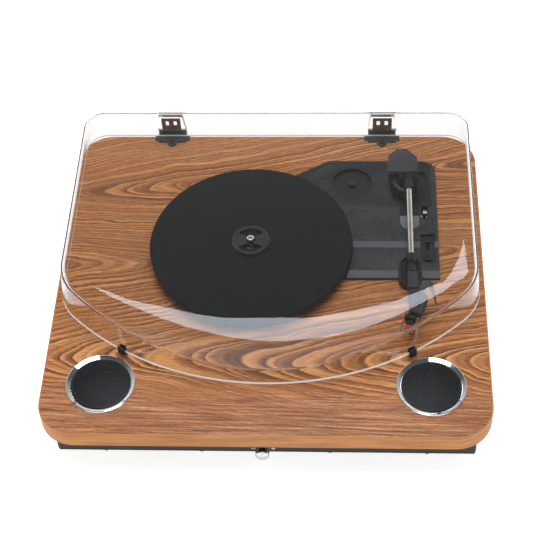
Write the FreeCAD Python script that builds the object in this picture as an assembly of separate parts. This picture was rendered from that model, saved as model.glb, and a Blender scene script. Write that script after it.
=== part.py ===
import FreeCAD, Part
import math
import os

# Turntable record player: a wood-topped cabinet with two small speakers, a belt-driven platter,
# a tonearm on a moulded deck plate and a clear hinged dust cover.
#
# All sizes are in millimetres. The parts are laid out about the centre of the board's top face
# (x right, y to the back, z up). save() then moves every part so that the origin is the bottom
# centre of the whole object's bounding box, on the plane that the feet stand on.

V = FreeCAD.Vector
X, Y, Z = V(1, 0, 0), V(0, 1, 0), V(0, 0, 1)

# ---------------------------------------------------------------- driving dimensions
RUN = 0.3                 # gap between bodies that move past each other
BORE = 0.05               # radial clearance of a shaft in its hole

BOARD_W, BOARD_D, BOARD_T, BOARD_R = 417.0, 380.0, 18.3, 35.0
BAND_T = 1.0              # edge band round the board

BASE_W, BASE_D, BASE_H = 389.2, 346.0, 34.3
WALL_T = 5.0
COVER_T = 3.0             # bottom cover, part of BASE_H
FOOT_X, FOOT_Y, FOOT_R, FOOT_H = 168.0, 146.0, 12.0, 8.0

PLATTER_X, PLATTER_Y = -20.0, 28.2
PLATTER_R, PLATTER_TOP, MAT_T = 99.6, 13.0, 1.35
SKIRT_Z, SKIRT_T = 6.5, 2.4
RIB_R, RIB_T = 50.0, 2.0  # rib under the platter that carries the belt
SPINDLE_R, SPINDLE_TOP = 3.55, 22.6
SHANK_R, SHANK_TOP = 3.0, 15.2      # the spindle below the part a record seats on
ADAPTOR_R, ADAPTOR_H = 18.8, 4.05
BELT_T, BELT_H = 0.8, 4.0
PULLEY_R, PULLEY_ARM, PULLEY_ANGLE = 5.0, 62.0, 215.0

SPEAKER_X, SPEAKER_Y = 153.0, -134.3
RING_R, GRILLE_R, SOUND_HOLE_R = 32.8, 28.2, 27.9

DECK_X0, DECK_X1, DECK_Y0, DECK_Y1 = -12.0, 165.5, -8.0, 148.6
DECK_H = 5.5
ARM_X, ARM_Y, ARM_Z = 136.8, 106.0, 26.5
TUBE_R = 2.8

COVER_W2, COVER_BACK = 203.5, 190.0   # dust cover's half width and back face at its rim
COVER_RIM_Z, COVER_TOP_Z = 3.5, 44.0
COVER_WALL, COVER_DRAFT = 2.6, 4.5
COVER_FRONT_R, COVER_FRONT_Y = 268.0, 132.7
COVER_CORNER_R, COVER_BACK_R = 55.0, 25.0
BEND_Y, BEND_R0, BEND_R = 271.0, 358.0, 60.0

HINGE_X, HINGE_Y, HINGE_Z = 111.5, 195.0, 7.0
HINGE_BACK = 198.6

KNOB_X, KNOB_Z, KNOB_R, KNOB_END = -2.0, -36.0, 6.5, -189.8

BASE_TOP = -BOARD_T
BASE_BOTTOM = BASE_TOP - BASE_H
FLOOR = BASE_BOTTOM - FOOT_H
ORIGIN_SHIFT = V(0, -(HINGE_BACK - BOARD_D / 2) / 2, -FLOOR)


# ---------------------------------------------------------------- helpers
def box(x0, y0, z0, x1, y1, z1):
    return Part.makeBox(x1 - x0, y1 - y0, z1 - z0, V(x0, y0, z0))


def cyl(x, y, z, r, h, axis=Z):
    return Part.makeCylinder(r, h, V(x, y, z), axis)


def polygon(points, z):
    """Closed flat wire through (x, y) points at height z."""
    return Part.makePolygon([V(x, y, z) for x, y in points] + [V(*points[0], z)])


def prism(wire, height):
    return Part.Face(wire).extrude(V(0, 0, height))


def poly_prism(points, z0, z1):
    return prism(polygon(points, z0), z1 - z0)


def rounded_rect(x0, y0, x1, y1, r, z):
    """Rectangle with rounded corners as a closed wire at height z."""
    corners = [(x1 - r, y1 - r, 0), (x0 + r, y1 - r, 90), (x0 + r, y0 + r, 180), (x1 - r, y0 + r, 270)]
    return arc_loop([(cx, cy, r, a, a + 90) for cx, cy, a in corners], z)


def arc_loop(arcs, z):
    """Wire of arcs (centre x, centre y, radius, start degrees, end degrees) joined by lines."""
    def at(cx, cy, r, a):
        return V(cx + r * math.cos(math.radians(a)), cy + r * math.sin(math.radians(a)), z)

    edges = []
    for i, (cx, cy, r, a0, a1) in enumerate(arcs):
        edges.append(Part.Arc(at(cx, cy, r, a0), at(cx, cy, r, (a0 + a1) / 2), at(cx, cy, r, a1)).toShape())
        nx, ny, nr, n0, _ = arcs[(i + 1) % len(arcs)]
        here, there = at(cx, cy, r, a1), at(nx, ny, nr, n0)
        if here.distanceToPoint(there) > 1e-4:
            edges.append(Part.makeLine(here, there))
    return Part.Wire(edges)


def revolve(profile, x, y, z=0.0):
    """Solid of revolution about the vertical line through (x, y), from (radius, height) points."""
    pts = [V(x + r, y, z + h) for r, h in profile]
    face = Part.Face(Part.makePolygon(pts + [pts[0]]))
    return face.revolve(V(x, y, 0), Z, 360)


def revolve_y(profile, x, z):
    """Solid of revolution about the line along Y through (x, z), from (radius, y) points."""
    pts = [V(x + r, h, z) for r, h in profile]
    face = Part.Face(Part.makePolygon(pts + [pts[0]]))
    return face.revolve(V(x, 0, z), Y, 360)


def round_edges(shape, radius, wanted):
    """Fillets the edges for which wanted(edge) is true."""
    return shape.makeFillet(radius, [e for e in shape.Edges if wanted(e)])


def upright(edge):
    """True for a straight vertical edge."""
    bounds = edge.BoundBox
    return bounds.XLength < 1e-6 and bounds.YLength < 1e-6


def on_plane(z):
    """Test for the edges that lie in the horizontal plane at height z."""
    return lambda e: abs(e.BoundBox.ZMin - z) < 1e-4 and abs(e.BoundBox.ZMax - z) < 1e-4


def turn(shape, degrees, x, y):
    """Turned copy of shape about the vertical line through (x, y)."""
    out = shape.copy()
    out.rotate(V(x, y, 0), Z, degrees)
    return out


def polar(x, y, r, degrees):
    return x + r * math.cos(math.radians(degrees)), y + r * math.sin(math.radians(degrees))


def screw(x, y, z, length, up, head_r=3.2, head_h=2.1):
    """Pan-head wood screw; its head's seat is at z and its shank runs up or down from there."""
    s = 1 if up else -1
    rim_h = head_h / 2
    head = revolve([(0, 0), (head_r, 0), (head_r, -s * rim_h), (head_r - 1, -s * (head_h - 0.2)),
                    (0, -s * head_h)], x, y, z)
    shank = revolve([(0, 0), (1.5, 0), (1.5, s * (length - 2)), (0, s * length)], x, y, z)
    width = 1.4 * head_r
    slot_z = z - s * head_h - (0 if up else 0.8)
    slot = Part.makeBox(width, 0.8, 0.8, V(x - width / 2, y - 0.4, slot_z))
    return head.fuse(shank).cut(slot)


def screw_hole(x, y, z, length, up):
    s = 1 if up else -1
    return cyl(x, y, z, 1.5 + BORE, length, V(0, 0, s))


def drill(shape, holes):
    return shape.cut(Part.makeCompound(holes))


def save(name, shapes):
    """Writes one node; a list of shapes becomes a group of separate solids."""
    group = shapes if isinstance(shapes, list) else [shapes]
    solids = [s for shape in group for s in shape.removeSplitter().Solids]
    out = solids[0] if len(solids) == 1 else Part.makeCompound(solids)
    out = out.copy()
    out.translate(ORIGIN_SHIFT)
    out.exportStep(os.path.join("parts", name + ".step"))
    print(name, len(solids), "solid(s), valid", out.isValid(), "volume %.1f" % out.Volume)


# ---------------------------------------------------------------- shared places
PULLEY_X, PULLEY_Y = polar(PLATTER_X, PLATTER_Y, PULLEY_ARM, PULLEY_ANGLE)
MOTOR_HOLE_R = 19.0
DECK_SCREWS = [polar(PLATTER_X, PLATTER_Y, 76, a) for a in (45, 135, 255, 330)]
WALL_SCREW_Y = BASE_D / 2 - WALL_T / 2
WALL_SCREWS = [(x, s * WALL_SCREW_Y) for x in (-150, -60, 60, 150) for s in (-1, 1)]
WALL_SCREWS += [(s * (BASE_W / 2 - WALL_T / 2), 0) for s in (-1, 1)]
BASKET_SCREW_R, BASKET_R = 30.7, 33.4
BASKET_SCREWS = [polar(s * SPEAKER_X, SPEAKER_Y, BASKET_SCREW_R, a)
                 for s in (-1, 1) for a in (45, 135, 225, 315)]
SWITCH_X = 154.8
SWITCH_POCKET = (147.6, 11.0, 161.6, 47.0)
LEVER_Y = 77.5
PIVOT_HOLE_R = 5.0
REST_X, REST_Y, REST_RX, REST_RY = 136.6, -3.0, 11.2, 18.5


# ---------------------------------------------------------------- cabinet
def top_board():
    b = prism(rounded_rect(-BOARD_W / 2 + BAND_T, -BOARD_D / 2 + BAND_T, BOARD_W / 2 - BAND_T,
                           BOARD_D / 2 - BAND_T, BOARD_R - BAND_T, -BOARD_T), BOARD_T)
    holes = [cyl(s * SPEAKER_X, SPEAKER_Y, -BOARD_T - 1, SOUND_HOLE_R, BOARD_T + 2) for s in (-1, 1)]
    holes += [cyl(PULLEY_X, PULLEY_Y, -BOARD_T - 1, MOTOR_HOLE_R, BOARD_T + 2),
              cyl(PLATTER_X, PLATTER_Y, -12, 8.05, 13),
              cyl(ARM_X, ARM_Y, -16, 9.05, 17),
              box(148, 66, -9, 158, 87, 1),
              box(150, 10, -9, 159.6, 48, 1)]
    holes += [screw_hole(x, y, 0.5, 12.5, False) for x, y in DECK_SCREWS]
    holes += [screw_hole(x, y, -BOARD_T, 12, True) for x, y in BASKET_SCREWS]
    holes += [screw_hole(s * HINGE_X, 180, 0.5, 11, False) for s in (-1, 1)]
    holes += [cyl(s * HINGE_X + d, BOARD_D / 2 + 0.5, -8, 1.5 + BORE, 12, -Y)
              for s in (-1, 1) for d in (-6.5, 6.5)]
    return drill(b, holes)


def edge_band():
    outer = prism(rounded_rect(-BOARD_W / 2, -BOARD_D / 2, BOARD_W / 2, BOARD_D / 2, BOARD_R, -BOARD_T),
                  BOARD_T)
    inner = prism(rounded_rect(-BOARD_W / 2 + BAND_T, -BOARD_D / 2 + BAND_T, BOARD_W / 2 - BAND_T,
                               BOARD_D / 2 - BAND_T, BOARD_R - BAND_T, -BOARD_T - 1), BOARD_T + 2)
    holes = [cyl(s * HINGE_X + d, BOARD_D / 2 + 1, -8, 1.5 + BORE, 4, -Y)
             for s in (-1, 1) for d in (-6.5, 6.5)]
    return drill(outer.cut(inner), holes)


def base_walls():
    """Four boards: front and back run the whole width, the sides fit between them."""
    z0, z1 = BASE_BOTTOM + COVER_T, BASE_TOP
    w, d = BASE_W / 2, BASE_D / 2
    walls = {
        "base_wall_front": box(-w, -d, z0, w, -d + WALL_T, z1),
        "base_wall_back": box(-w, d - WALL_T, z0, w, d, z1),
        "base_wall_left": box(-w, -d + WALL_T, z0, -w + WALL_T, d - WALL_T, z1),
        "base_wall_right": box(w - WALL_T, -d + WALL_T, z0, w, d - WALL_T, z1),
    }
    holes = [screw_hole(x, y, BASE_BOTTOM, 16, True) for x, y in WALL_SCREWS]
    holes.append(cyl(KNOB_X, -d - 1, KNOB_Z, 3.8, WALL_T + 2, Y))
    holes.append(box(*DC_BOX))
    holes.append(box(*RCA_BOX))
    return {name: drill(wall, holes) for name, wall in walls.items()}


def bottom_cover():
    w, d = BASE_W / 2 - 0.6, BASE_D / 2 - 0.6
    plate = box(-w, -d, BASE_BOTTOM, w, d, BASE_BOTTOM + COVER_T)
    holes = [screw_hole(x, y, BASE_BOTTOM - 1, 16, True) for x, y in WALL_SCREWS]
    holes += [screw_hole(x, y, BASE_BOTTOM - 1, 16, True) for x, y in foot_places()]
    return drill(plate, holes)


def foot_places():
    return [(sx * FOOT_X, sy * FOOT_Y) for sx in (-1, 1) for sy in (-1, 1)]


def rubber_feet():
    """Tapered round feet, each recessed for its screw's head."""
    feet = []
    for x, y in foot_places():
        foot = revolve([(0, 0), (FOOT_R, 0), (FOOT_R - 1.6, -FOOT_H + 1), (FOOT_R - 2.6, -FOOT_H),
                        (0, -FOOT_H)], x, y, BASE_BOTTOM)
        feet.append(foot.cut(cyl(x, y, FLOOR - 1, 4.2, FOOT_H - 2)).cut(cyl(x, y, FLOOR, 1.5 + BORE, 20)))
    return feet


def wood_screws():
    screws = [screw(x, y, BASE_BOTTOM, 15, True, 2.4, 1.2) for x, y in WALL_SCREWS]
    screws += [screw(x, y, FLOOR + FOOT_H - 3, 5.6, True) for x, y in foot_places()]
    screws += [screw(x, y, -BOARD_T - 1.5, 13, True) for x, y in BASKET_SCREWS]
    return screws


# ---------------------------------------------------------------- deck plate
def deck_outline(z):
    """Arm panel's outline; its left end runs in under the platter."""
    r = 14.0
    right_back = (DECK_X1 - r, DECK_Y1 - r, r, 0, 90)
    x, y = DECK_X1, DECK_Y0
    a = V(x, y, z), V(x, right_back[1], z)
    mid = polar(right_back[0], right_back[1], r, 45)
    arc = Part.Arc(a[1], V(*mid, z), V(right_back[0], DECK_Y1, z)).toShape()
    rest = [V(right_back[0], DECK_Y1, z), V(55.4, DECK_Y1, z), V(DECK_X0, 108, z), V(DECK_X0, DECK_Y0, z),
            a[0]]
    return Part.Wire([Part.makeLine(*a), arc] + [Part.makeLine(p, q) for p, q in zip(rest, rest[1:])])


def deck_profile():
    """Side profile of the arm panel, extruded along X: two levels that step down to the front."""
    pts = [(DECK_Y0, 0), (DECK_Y0, 3.3), (0.4, 4.5), (30.2, 4.5), (37.5, DECK_H), (DECK_Y1, DECK_H),
           (DECK_Y1, 0)]
    wire = Part.makePolygon([V(DECK_X0 - 1, y, z) for y, z in pts + pts[:1]])
    return Part.Face(wire).extrude(V(DECK_X1 - DECK_X0 + 2, 0, 0))


def funnel():
    """Recess round the arm's pivot that narrows to a throat at the front."""
    pts = [(117.5, 130), (117.8, 118), (120.2, 101.7), (123.6, 92), (128.2, 83.7), (128.2, 64.0),
           (147.6, 64.0), (148.2, 83.7), (150.4, 91), (156.6, 108.8), (157.1, 125.8), (154, 134)]
    return poly_prism(pts, 1.0, DECK_H + 1)


def insert_outline(gap, z):
    """Rounded-end insert that closes the throat of the funnel."""
    cx, r = (128.2 + 147.6) / 2, (147.6 - 128.2) / 2 - gap
    cy = 53.3 + r + gap
    left, right = V(cx - r, 71.4, z), V(cx + r, 71.4, z)
    lo_l, lo_r, low = V(cx - r, cy, z), V(cx + r, cy, z), V(cx, cy - r, z)
    return Part.Wire([Part.makeLine(left, lo_l), Part.Arc(lo_l, low, lo_r).toShape(),
                      Part.makeLine(lo_r, right), Part.makeLine(right, left)])


def deck_plate():
    panel = deck_profile().common(prism(deck_outline(0), DECK_H))
    bay = cyl(PLATTER_X, PLATTER_Y, 0, 86, 2.5)
    under = cyl(PLATTER_X, PLATTER_Y, 2.5, PLATTER_R + 1.0, 10)
    panel = panel.cut(under).fuse(bay)
    upper = prism(deck_outline(DECK_H - 0.8).makeOffset2D(-3.0), 2).common(box(0, 83.5, 0, 160, 150, 10))
    panel = panel.cut(upper)
    panel = panel.cut(cyl(80, 117.5, 1.0, 20.5, 10)).fuse(cyl(80, 117.5, 0.5, 3.4, 4.3))
    panel = panel.cut(funnel()).cut(prism(insert_outline(0, 2.5), 5))
    x0, y0, x1, y1 = SWITCH_POCKET
    panel = panel.cut(box(x0, y0, 2.4, x1, y1, 10)).cut(oval(REST_RX + 0.1, REST_RY + 0.1, -1, 10))
    panel = panel.fuse(cyl(ARM_X, ARM_Y, -15, 9, 16.5)).fuse(cyl(PLATTER_X, PLATTER_Y, -11, 8, 14.5))
    holes = [cyl(ARM_X, ARM_Y, -16, PIVOT_HOLE_R + BORE, 30), cyl(PLATTER_X, PLATTER_Y, -9, SHANK_R, 30),
             cyl(PULLEY_X, PULLEY_Y, -1, 7.0, 10), box(149.5, 68, -1, 156.5, 86, 10),
             box(153.4, 28.5, 0.2, 156.2, 43.5, 10), box(153.4, 13, 0.2, 156.2, 22.4, 10)]
    holes += [box(SWITCH_X - 2.4, 27.5, -1, SWITCH_X + 2.4, 44.5, 0.6),
              box(SWITCH_X - 2.4, 12, -1, SWITCH_X + 2.4, 23.4, 0.6)]
    holes += [screw_hole(x, y, 2.6, 5, False) for x, y in DECK_SCREWS]
    holes += [cyl(x, y, -1, 1.3, 5) for x, y in LIFT_PINS]
    return drill(panel, holes)


def deck_screws():
    return [screw(x, y, 2.5, 14, False) for x, y in DECK_SCREWS]


def throat_insert():
    return prism(insert_outline(0.15, 2.5), 3.2)


def oval(rx, ry, z0, z1):
    """Upright solid with the arm rest's oval plan."""
    arcs = [(REST_X, REST_Y + ry - rx, rx, 0, 180), (REST_X, REST_Y - ry + rx, rx, 180, 360)]
    return prism(arc_loop(arcs, z0), z1 - z0)


def arm_rest():
    """Oval cup in front of the panel with a saddle that the arm's socket lies on."""
    cup = oval(REST_RX, REST_RY, 0.0, 9.0).cut(oval(REST_RX - 2.2, REST_RY - 2.2, 6.6, 12))
    saddle = box(REST_X - 4.2, -5.6, 6.0, REST_X + 4.2, -1.4, 21.6)
    groove = cyl(ARM_X, -8, ARM_Z, 4.6 + RUN, 10, Y)
    return cup.fuse(saddle.cut(groove))


# ---------------------------------------------------------------- platter, drive
def platter():
    """Shallow cup: disc, outer skirt, belt rib and hub."""
    top = PLATTER_TOP
    disc = revolve([(SPINDLE_R + 3.5, top - 2.6), (PLATTER_R, top - 2.6), (PLATTER_R, top - 0.6),
                    (PLATTER_R - 0.6, top), (SPINDLE_R + 3.5, top)], PLATTER_X, PLATTER_Y)
    skirt = tube(PLATTER_R - SKIRT_T, PLATTER_R, SKIRT_Z, top - 1)
    rib = tube(RIB_R - RIB_T, RIB_R, 4.6, top - 1)
    hub = tube(SPINDLE_R + 3.5, 12, 4.6, top - 1)
    spokes = [turn(box(PLATTER_X + 11, PLATTER_Y - 1, 7.5, PLATTER_X + RIB_R - 1, PLATTER_Y + 1, top - 1),
                   a, PLATTER_X, PLATTER_Y) for a in range(0, 360, 60)]
    body = disc.multiFuse([skirt, rib, hub] + spokes)
    return body.cut(cyl(PLATTER_X, PLATTER_Y, top - 1.6, 9, 3))


def tube(r0, r1, z0, z1, x=PLATTER_X, y=PLATTER_Y):
    return cyl(x, y, z0, r1, z1 - z0).cut(cyl(x, y, z0 - 1, r0, z1 - z0 + 2))


def platter_mat():
    z0 = PLATTER_TOP
    return revolve([(9.2, z0), (100, z0), (100, z0 + MAT_T - 0.3), (99.7, z0 + MAT_T), (9.2, z0 + MAT_T)],
                   PLATTER_X, PLATTER_Y)


def platter_bush():
    inner, outer, z0, z1 = SHANK_R + BORE, SPINDLE_R + 3.5, 4.0, PLATTER_TOP - 1.6
    return revolve([(inner, z0), (outer, z0), (outer, z1), (inner, z1)], PLATTER_X, PLATTER_Y)


def spindle():
    r, top = SPINDLE_R, SPINDLE_TOP
    shank = cyl(PLATTER_X, PLATTER_Y, -9, SHANK_R, SHANK_TOP + 9)
    rod = shank.fuse(cyl(PLATTER_X, PLATTER_Y, SHANK_TOP, r, top - 1.6 - SHANK_TOP))
    dome_r = (r * r + 1.6 * 1.6) / (2 * 1.6)
    dome = Part.makeSphere(dome_r, V(PLATTER_X, PLATTER_Y, top - dome_r)).common(
        cyl(PLATTER_X, PLATTER_Y, top - 1.7, r, 4))
    groove = tube(SHANK_R - 0.5, SHANK_R + 1, 11.7, 12.3)
    return rod.fuse(dome).cut(groove)


def spindle_clip():
    """Retaining ring that sits in the spindle's groove, above the bush."""
    ring = tube(SHANK_R - 0.45, 6.6, 11.75, 12.25)
    return ring.cut(box(PLATTER_X, PLATTER_Y - 2.2, 11, PLATTER_X + 8, PLATTER_Y + 2.2, 13))


def adaptor():
    """Disc for large-hole records, with two lens-shaped cut-outs."""
    x, y, z0, h, r = PLATTER_X, PLATTER_Y, PLATTER_TOP + MAT_T, ADAPTOR_H, ADAPTOR_R
    hole_r, relief_r, lip = SPINDLE_R + 0.07, SPINDLE_R + 0.9, 0.6
    disc = revolve([(hole_r, z0), (r, z0), (r, z0 + h - 1.0), (r - 1.0, z0 + h), (r - 2.2, z0 + h),
                    (r - 3.0, z0 + h - 0.7), (relief_r, z0 + h - 0.7), (relief_r, z0 + lip), (hole_r, z0 + lip)],
                   x, y)
    lens_r, lens_off = 17.0, 21.5
    rim = cyl(x, y, z0 - 1, r - 3.8, h + 2)
    for side in (-1, 1):
        disc = disc.cut(rim.common(cyl(x, y + side * lens_off, z0 - 1, lens_r, h + 2)))
    return disc


def drive_belt():
    """Flat belt round the platter's rib and the motor pulley: two arcs and two straight runs."""
    r0, r1 = RIB_R + RUN, PULLEY_R + RUN
    z0 = 5.2

    def loop(grow, z):
        big, small = r0 + grow, r1 + grow
        tilt = math.degrees(math.acos((big - small) / PULLEY_ARM))
        arcs = [(0, 0, big, tilt, 360 - tilt), (PULLEY_ARM, 0, small, -tilt, tilt)]
        return arc_loop(arcs, z)

    belt = prism(loop(BELT_T, z0), BELT_H).cut(prism(loop(0, z0 - 1), BELT_H + 2))
    belt.rotate(V(0, 0, 0), Z, PULLEY_ANGLE)
    belt.translate(V(PLATTER_X, PLATTER_Y, 0))
    return belt


def drive_motor():
    """Can with a mounting flange screwed under the deck plate's bay."""
    can = revolve([(0, -26), (15, -26), (16, -25), (16, -3.5), (0, -3.5)], PULLEY_X, PULLEY_Y)
    flange = cyl(PULLEY_X, PULLEY_Y, -3.5, 18.6, 1.5)
    boss = cyl(PULLEY_X, PULLEY_Y, -2, 4, 2)
    pegs = [cyl(*polar(PULLEY_X, PULLEY_Y, 15, a), -2, 2.6, 2) for a in (90, 210, 330)]
    return can.multiFuse([flange, boss] + pegs).cut(cyl(PULLEY_X, PULLEY_Y, -22, 1 + BORE, 30))


def motor_pulley():
    """Crowned pulley on the motor's shaft."""
    r = PULLEY_R
    return revolve([(0, -21), (1, -21), (1, 0.8), (3, 0.8), (3, 3.6), (r + 1.6, 3.6), (r + 1.6, 4.6),
                    (r, 4.9), (r, 9.5), (r + 1.2, 9.8), (r + 1.2, 10.1), (0, 10.1)], PULLEY_X, PULLEY_Y)


# ---------------------------------------------------------------- speakers
def speaker_ring(side):
    """Trim ring whose top slopes down to the grille."""
    return revolve([(RING_R, 0), (RING_R, 0.8), (RING_R - 0.5, 1.7), (RING_R - 1.0, 1.9),
                    (GRILLE_R + 0.1, 0.5),
                    (26.4, 0.5), (26.4, -3), (SOUND_HOLE_R - 0.1, -3), (SOUND_HOLE_R - 0.1, 0)],
                   side * SPEAKER_X, SPEAKER_Y)


def speaker_grille(side):
    """Thin domed disc resting on the ring's inner ledge."""
    rise, t = 1.8, 0.8
    x, y, z0 = side * SPEAKER_X, SPEAKER_Y, 0.5
    big = (GRILLE_R ** 2 + rise ** 2) / (2 * rise)
    outer = Part.makeSphere(big, V(x, y, z0 + t + rise - big))
    inner = Part.makeSphere(big, V(x, y, z0 + rise - big))
    return outer.cut(inner).common(cyl(x, y, z0, GRILLE_R, 10))


def speaker_basket(side):
    """Pressed frame: flange under the board, conical cage with four windows."""
    x, y, top = side * SPEAKER_X, SPEAKER_Y, -BOARD_T
    shell = revolve([(27.8, top), (BASKET_R, top), (BASKET_R, top - 1.5), (27.3, top - 1.5), (14.5, top - 16),
                     (8.2, top - 16), (8.2, top - 14.8), (13.9, top - 14.8), (27, top - 1.2)], x, y)
    holes = [turn(box(x + 17, y - 6, top - 13, x + 27, y + 6, top - 3), a, x, y) for a in (0, 90, 180, 270)]
    holes += [screw_hole(px, py, top - 2, 4, True) for px, py in BASKET_SCREWS]
    return drill(shell, holes)


def speaker_cone(side):
    """Paper cone with its surround and dust cap."""
    x, y, top = side * SPEAKER_X, SPEAKER_Y, -BOARD_T
    return revolve([(26.6, top), (25.2, top), (23.2, top - 1.6), (9.5, top - 9.4), (0, top - 7.2),
                    (0, top - 8.0),
                    (8.2, top - 10.4), (9.6, top - 10.5), (24.2, top - 2.6), (26.4, top - 1.0)], x, y)


def speaker_magnets():
    """Ring magnet, yoke plate and voice-coil core behind each basket."""
    out = []
    for s in (-1, 1):
        x, y, top = s * SPEAKER_X, SPEAKER_Y, -BOARD_T - 16
        out.append(revolve([(0, top - 11), (15, top - 11), (16.5, top - 10), (16.5, top - 9.2),
                            (15.6, top - 9.2),
                            (15.6, top - 2.2), (16.5, top - 2.2), (16.5, top), (8.0, top), (8.0, top + 4),
                            (0, top + 4)], x, y))
    return out


# ---------------------------------------------------------------- electronics
PCB_TOP = -44.4
DC_BOX = (118.0, 156.0, -42.5, 128.0, 174.2, -31.5)
RCA_BOX = (76.0, 160.0, -43.0, 104.0, 173.2, -30.0)
RCA_X, RCA_Z, RCA_R = (83.0, 97.0), -36.5, 4.15


def circuit_board():
    """Board on four posts, with a few of the taller components."""
    board = box(60, 96, PCB_TOP - 1.6, 140, 160, PCB_TOP)
    posts = [cyl(x, y, BASE_BOTTOM + COVER_T, 3, PCB_TOP - 1.6 - BASE_BOTTOM - COVER_T)
             for x in (65, 135) for y in (101, 150)]
    parts = [cyl(75, 120, PCB_TOP, 5, 12), cyl(88, 108, PCB_TOP, 4, 10), cyl(100, 122, PCB_TOP, 5, 12),
             box(108, 102, PCB_TOP, 130, 108, PCB_TOP + 14), box(84, 130, PCB_TOP, 104, 138, PCB_TOP + 2.4)]
    return board.multiFuse(posts + parts)


def dc_inlet():
    x0, y0, z0, x1, y1, z1 = DC_BOX
    cx, cz = (x0 + x1) / 2, (z0 + z1) / 2
    body = box(x0, y0, z0, x1, y1, z1).fuse(box(x0, 146, PCB_TOP, x1, y0 + 2, z1))
    return body.cut(cyl(cx, y1 - 10, cz, 3.0, 12, Y)).fuse(cyl(cx, y1 - 11, cz, 1.0, 10, Y))


def rca_sockets():
    """Two phono sockets on one moulded block."""
    x0, y0, z0, x1, y1, z1 = RCA_BOX
    block = box(x0, y0, z0, x1, y1, z1).fuse(box(x0, 148, PCB_TOP, x1, y0 + 1, z1))
    for x in RCA_X:
        collar = cyl(x, y1 - 1, RCA_Z, 5.6, 2.8, Y)
        shell = cyl(x, y1 - 1, RCA_Z, RCA_R, 10.3, Y).fuse(collar)
        block = block.fuse(shell).cut(cyl(x, y1, RCA_Z, 1.7, 12, Y))
    return block


def volume_pot():
    y0 = -BASE_D / 2 + WALL_T
    body = revolve_y([(0, y0), (8.5, y0), (8.5, y0 + 8), (0, y0 + 8)], KNOB_X, KNOB_Z)
    thread = revolve_y([(0, y0 - 5.5), (3.7, y0 - 5.5), (3.7, y0), (0, y0)], KNOB_X, KNOB_Z)
    legs = [box(KNOB_X + d - 0.5, y0 + 3, KNOB_Z - 11, KNOB_X + d + 0.5, y0 + 3.6, KNOB_Z - 7)
            for d in (-4, 0, 4)]
    return body.multiFuse([thread] + legs).cut(cyl(KNOB_X, y0 - 10, KNOB_Z, 3 + BORE, 16, Y))


def pot_shaft():
    y0 = -BASE_D / 2 + WALL_T
    shaft = cyl(KNOB_X, KNOB_END + 3.5, KNOB_Z, 3, y0 + 5 - KNOB_END - 3.5, Y)
    return shaft.cut(box(KNOB_X - 4, KNOB_END, KNOB_Z + 1.8, KNOB_X + 4, KNOB_END + 11, KNOB_Z + 4))


def volume_knob():
    """Turned knob with a domed face and a fine pointer groove."""
    front, back = KNOB_END, -BASE_D / 2 - 0.8
    r = KNOB_R
    body = revolve_y([(0, front), (r - 3.2, front + 0.3), (r - 1.4, front + 0.9), (r - 0.4, front + 1.9),
                      (r, front + 3), (r, back), (0, back)], KNOB_X, KNOB_Z)
    groove = box(KNOB_X - 0.4, front - 1, KNOB_Z + 2.6, KNOB_X + 0.4, front + 2.4, KNOB_Z + r + 1)
    socket = cyl(KNOB_X, front + 3.5, KNOB_Z, 3.02, 20, Y)
    flat = box(KNOB_X - 4, front + 3, KNOB_Z + 1.82, KNOB_X + 4, front + 11, KNOB_Z + 4)
    return body.cut(groove).cut(socket.cut(flat))


# ---------------------------------------------------------------- tonearm
YOKE_IN, YOKE_OUT = 6.2, 9.2
SLEEVE_BACK = 125.0
PIN_R = 1.5
LIFT_R0, LIFT_R1 = 12.6, 15.8
LIFT_TOP = ARM_Z - 4.6 - 0.5
LIFT_PINS = [polar(ARM_X, ARM_Y, (LIFT_R0 + LIFT_R1) / 2, a) for a in (200, 262)]


def arm_yoke():
    """Swivelling fork: shaft in the deck's bore, base disc and two cheeks for the arm's pins."""
    shaft = cyl(ARM_X, ARM_Y, -14, PIVOT_HOLE_R, 17)
    base = cyl(ARM_X, ARM_Y, 2.2, 11.0, 4.0)
    cheeks = box(ARM_X - YOKE_OUT, ARM_Y - 4.5, 6, ARM_X + YOKE_OUT, ARM_Y + 4.5, ARM_Z + 4)
    cheeks = cheeks.cut(box(ARM_X - YOKE_IN, ARM_Y - 6, 9, ARM_X + YOKE_IN, ARM_Y + 6, 60))
    cheeks = round_edges(cheeks, 2.0, lambda e: abs(e.BoundBox.ZMin - ARM_Z - 4) < 1e-4
                         and e.BoundBox.XLength > 2
                         and e.BoundBox.YLength < 1e-4)
    return shaft.fuse(base).fuse(cheeks).cut(cyl(ARM_X - 20, ARM_Y, ARM_Z, PIN_R + BORE, 40, X))


def arm_sleeve():
    """Plastic sleeve behind the tube with the two side pins that the arm tilts on."""
    body = revolve_y([(0, 88.8), (4.2, 88.8), (4.6, 89.4), (4.6, SLEEVE_BACK), (0, SLEEVE_BACK)],
                     ARM_X, ARM_Z)
    pins = cyl(ARM_X - YOKE_OUT - 0.8, ARM_Y, ARM_Z, PIN_R, 2 * YOKE_OUT + 1.6, X)
    return body.fuse(pins).cut(cyl(ARM_X, 80, ARM_Z, TUBE_R, 22, Y))


def arm_tube():
    bar = cyl(ARM_X, -2.6, ARM_Z, TUBE_R, 104.4, Y)
    return bar.cut(cyl(ARM_X, -3, ARM_Z, TUBE_R - 0.6, 110, Y))


CAP_Z0 = 31.2             # the housing's roof starts here, just above the sleeve
CAP_PLAN = [(125.2, 134.3), (134.7, 134.3), (145.4, 122.2), (145.9, 106.6), (126.9, 105.9), (114.8, 107.2),
            (116.5, 125.2)]
CAP_RIDGE = V(127.1, 123.3, 38.0)


def height_on_plane(a, b, c, x, y):
    """Height at (x, y) of the plane through three points."""
    n = (b - a).cross(c - a)
    return a.z - (n.x * (x - a.x) + n.y * (y - a.y)) / n.z


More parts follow.
